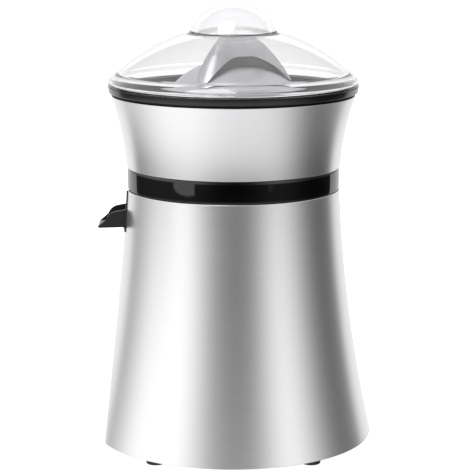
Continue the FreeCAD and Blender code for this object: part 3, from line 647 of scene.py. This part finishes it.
crown[-1, 0] = 0.0
inner_edge = arc((81.9, 247.6), (80.3, 249.6), (76.7, 252.2), 12)
outline = np.vstack([rim, shoulder, dome, neck, ball, crown[::-1], inner_dome[::-1], inner_edge[::-1]])
lid = grid_object("lid", turn(outline, 256), close_u=True, close_v=True)
air_r, air_foot = BALL_R - BALL_WALL, 27.5
rise = np.linspace(np.pi / 2, np.arccos(air_foot / air_r), 44)
air_ball = np.stack([air_r * np.cos(rise), BALL_AT + air_r * np.sin(rise)], -1)
air_floor = arc(air_ball[-1], (14.0, 283.5), (0.0, 284.7), 24)[1:]
air_ball[0, 0] = air_floor[-1, 0] = 0.0
air = grid_object("knob_air", turn(np.vstack([air_ball, air_floor]), 256), close_v=True)
work = bmesh.new()
work.from_mesh(lid.data)
work.from_mesh(air.data)
work.to_mesh(lid.data)
work.free()
bpy.data.objects.remove(air)
merge_poles(lid)
place(lid, CLEAR, "cover", "clear_plastic", "lid")

# %% [markdown]
# ## The reamer
# The cone that presses the fruit is a pressing of blasted steel with three wide ribs. Their
# outline is a parabola; between them the flutes are hollow, and each flute ends in an arch over
# the base dome. Its steel is tinted a little darker than the satin pressing, a painted shade for
# the dark bowl and collar that it mirrors under the lid. The radius is a function of angle and
# height. The lower edge of each column is found by halving: it is where the cone meets a ball
# that scoops out its underside.

# %% Reamer
CONE_TIP, CONE_FOOT = 280.5, 247.0
RIBS, RIB_AT = 3, np.radians(-123.0)
CREST_GROWTH, RIDGE_POWER = 6.9, 2.5
FLUTE_AT_TIP, FLUTE_AT_FOOT = 0.5, 0.75   # share of the crest's radius that the flute keeps
REAMER_COLUMNS, EDGE_SMOOTHING = 420, 9
REAMER_WALL, HALVINGS = 1.2, 30
SCOOP_RIM, SCOOP_FOOT, SCOOP_TOP = 38.5, 248.5, 267.9


def reamer_radius(angle, z):
    """Crest = CREST_GROWTH times the root of the depth under the tip. The flute keeps a share of
    it that grows towards the foot; a raised cosine to RIDGE_POWER joins crest and flute."""
    depth = np.maximum(CONE_TIP - z, 0)
    crest = CREST_GROWTH * np.sqrt(depth)
    flute = crest * (FLUTE_AT_TIP + (FLUTE_AT_FOOT - FLUTE_AT_TIP) * depth / (CONE_TIP - CONE_FOOT))
    ridge = ((1 + np.cos(RIBS * (angle - RIB_AT))) / 2) ** RIDGE_POWER
    return flute + (crest - flute) * ridge


def scoop_radius(z):
    """Radius at height z of the ball whose top is at SCOOP_TOP and whose rim is SCOOP_RIM wide."""
    rise = SCOOP_TOP - SCOOP_FOOT
    ball_r = (SCOOP_RIM ** 2 + rise ** 2) / (2 * rise)
    return np.sqrt(np.maximum(ball_r ** 2 - (z - SCOOP_TOP + ball_r) ** 2, 0))


angle = np.linspace(0, 2 * np.pi, REAMER_COLUMNS, endpoint=False)
low, high = np.full(angle.shape, SCOOP_FOOT), np.full(angle.shape, SCOOP_TOP)
for _ in range(HALVINGS):
    half = (low + high) / 2
    inside = reamer_radius(angle, half) < scoop_radius(half)
    low, high = np.where(inside, half, low), np.where(inside, high, half)
bell = np.hanning(EDGE_SMOOTHING)
edge = np.convolve(np.tile(high, 3), bell / bell.sum(), "same")[REAMER_COLUMNS:2 * REAMER_COLUMNS]
share = np.linspace(0, 1, 70)[:, None]
z = CONE_TIP - (CONE_TIP - edge) * (1 - share) ** 2
r = reamer_radius(angle, z)
reamer = grid_object("reamer", np.stack([r * np.cos(angle), r * np.sin(angle), z], -1), close_v=True)
merge_poles(reamer)
sheet_metal(reamer, REAMER_WALL, 0.35)
place(reamer, REAMER_STEEL, "cone", "satin_steel", "reamer")

# %% [markdown]
# ## The base dome
# Under the ribs lies a shallow steel dome that turns with them and throws the juice outwards
# onto the strainer. Its brim is a plain cone and its middle a turned arc.

# %% Base dome
BRIM = [(49.0, 242.6), (46.0, 243.67), (43.0, 244.73)]
DOME_TOP_ARC = ((40.0, 245.8), (27.0, 255.6), (9.1, 260.2))
DOME_WALL, BRIM_LIP = 1.2, (48.6, 242.5)
cap = np.vstack([BRIM, arc(*DOME_TOP_ARC, 40)])
under = cap[::-1] - [0.0, DOME_WALL]
under[-1] = BRIM_LIP
base_dome = grid_object("base_dome", turn(np.vstack([cap, under]), 256), close_u=True, close_v=True)
place(base_dome, SATIN, "cone", "satin_steel", "cone_base")

# %% [markdown]
# ## The black shade core
# The steel cone sits over a black core of the same shape, a little smaller and lower, which is
# painted shade: it shows as a dark band under each arch, down to the base dome, where the gap under
# the cone lies in shade. The CAD has only a plain round core here, so this piece replaces no node.
# Its lower edge is found by halving again: it is where the core meets the dome.

# %% Black shade core
SHADE_CORE_SHRINK, SHADE_CORE_SINK, SHADE_CORE_GAP = 0.95, 1.6, 0.35
SHADE_CORE_LOWEST, SHADE_CORE_HIGHEST, SHADE_CORE_WALL = 245.0, 266.0, 0.8
low, high = np.full(angle.shape, SHADE_CORE_LOWEST), np.full(angle.shape, SHADE_CORE_HIGHEST)
for _ in range(HALVINGS):
    half = (low + high) / 2
    shade_core_r = SHADE_CORE_SHRINK * reamer_radius(angle, half + SHADE_CORE_SINK)
    under_dome = shade_core_r < np.interp(half - SHADE_CORE_GAP, cap[:, 1], cap[:, 0])
    low, high = np.where(under_dome, half, low), np.where(under_dome, high, half)
z = CONE_TIP - SHADE_CORE_SINK - (CONE_TIP - SHADE_CORE_SINK - high) * (1 - share) ** 2
r = SHADE_CORE_SHRINK * reamer_radius(angle, z + SHADE_CORE_SINK)
shade_core = grid_object("reamer_shade_core", np.stack([r * np.cos(angle), r * np.sin(angle), z], -1), close_v=True)
merge_poles(shade_core)
sheet_metal(shade_core, SHADE_CORE_WALL, 0.2)
# The black on this core is painted shade, for the gap under the cone's arches.
shade_core.data.materials.append(BLACK)
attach(shade_core, "cone")
print("black core from", np.round(high.min(), 1), "mm up to", CONE_TIP - SHADE_CORE_SINK)

# %% [markdown]
# ## The drip-stop spout
# The spout is an open trough in grained black plastic that tilts up to stop the drip. Eight
# corners of a U make its section; they are carried along its length while the rim follows the
# side view, rising from the heel and then curving down to the lip. A bevel breaks the edges.


# %% Spout
def capped(piece, rows, columns):
    """Closes both ends of a tube of sections with one face each, and turns all faces outwards."""
    work = bmesh.new()
    work.from_mesh(piece.data)
    work.verts.ensure_lookup_table()
    work.faces.new([work.verts[i] for i in range(columns)])
    work.faces.new([work.verts[(rows - 1) * columns + i] for i in range(columns)])
    bmesh.ops.recalc_face_normals(work, faces=work.faces)
    work.to_mesh(piece.data)
    work.free()


SPOUT_HALF, SPOUT_WALL = 13.5, 1.7
UNDERSIDE = ((69.3, 149.8), (76.0, 149.8), (90.6, 149.4), (91.6, 149.8))
FLOOR_LINE = ((60.0, 151.0), (95.0, 150.7))
LEAST_DEPTH = 0.02                        # the trough never closes at the lip
lip_curve = arc((-80.0, 160.6), (-83.6, 158.6), (-86.2, 154.8), 12)
rim_line = np.vstack([[(-69.3, 156.0), (-70.9, 159.0), (-72.5, 162.0), (-76.2, 161.3)], lip_curve,
                      [(-88.0, 153.27), (-89.8, 151.73), (-91.6, 150.2)]])
along = rim_line[:, 0]
top = rim_line[:, 1]
under = np.interp(-along, *np.transpose(UNDERSIDE))
floor_line = np.minimum(np.interp(-along, *np.transpose(FLOOR_LINE)), top - LEAST_DEPTH)
inner = SPOUT_HALF - SPOUT_WALL
section_y = np.array([-SPOUT_HALF, -inner, -inner, inner, inner, SPOUT_HALF, SPOUT_HALF, -SPOUT_HALF])
section_z = np.stack([top, top, floor_line, floor_line, top, top, under, under], -1)
spout_points = np.stack([along[:, None] + 0 * section_z, section_y + 0 * section_z, section_z], -1)
spout = grid_object("spout", spout_points, close_v=True, smooth=True)
capped(spout, len(along), 8)
edges = spout.modifiers.new("broken_edges", "BEVEL")
edges.width, edges.segments = 0.45 * MM, 3
edges.limit_method, edges.angle_limit = "ANGLE", np.radians(35)
edges.harden_normals = True
place(spout, BLACK, "spout_flap", "black_plastic", "spout")

# %% [markdown]
# ## The return spring
# Three turns of flat wire stand between the output gear and the disc on the shaft. When the
# cone is pressed, the spring gets shorter; here it is tied to the gear. The record hangs it on
# the shaft, which turns with the gear; on the gear its foot stays put. The wire is a rectangle
# carried along a helix.

# %% Return spring
SPRING_R, SPRING_TURNS, WIRE_W, WIRE_T = 6.2, 3.0, 1.0, 0.8
low, high = (np.array(corner)[2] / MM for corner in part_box("return_spring"))
climb = np.linspace(0, 1, 145)[:, None]
helix = 2 * np.pi * SPRING_TURNS * climb
wire_r = SPRING_R + WIRE_W * np.array([-0.5, 0.5, 0.5, -0.5])
wire_z = low + WIRE_T / 2 + (high - low - WIRE_T) * climb + WIRE_T * np.array([-0.5, -0.5, 0.5, 0.5])
wire = np.stack([wire_r * np.cos(helix), wire_r * np.sin(helix), wire_z], -1)
spring = grid_object("coil_spring", wire, close_v=True, smooth=False)
capped(spring, len(climb), 4)
place(spring, BRIGHT, "output", "bright_steel", "return_spring")
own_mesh(spring)

# %% [markdown]
# ## Feet
# Four soft feet are pushed into the base plate. Each is turned: a pad with a rounded sole, a
# stem and a barb that snaps into its hole.

# %% Feet
foot_outline = eased([(0, 0), (6.2, 0), (7.2, 7.5), (3.0, 7.5), (3.0, 10.5), (4.2, 10.5),
                      (2.2, 13.5), (0, 13.5)], [0.8, 0.4, 0.2, 0.2, 0.3, 0.3], 5)
for name in ("foot_front_left", "foot_front_right", "foot_rear_left", "foot_rear_right"):
    low, high = (np.array(corner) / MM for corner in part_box(name))
    foot = grid_object(name.replace("foot", "rubber_foot"),
                       turn(foot_outline, 64) + np.append((low + high)[:2] / 2, 0), close_v=True)
    merge_poles(foot)
    place(foot, RUBBER, "base", "rubber", name)
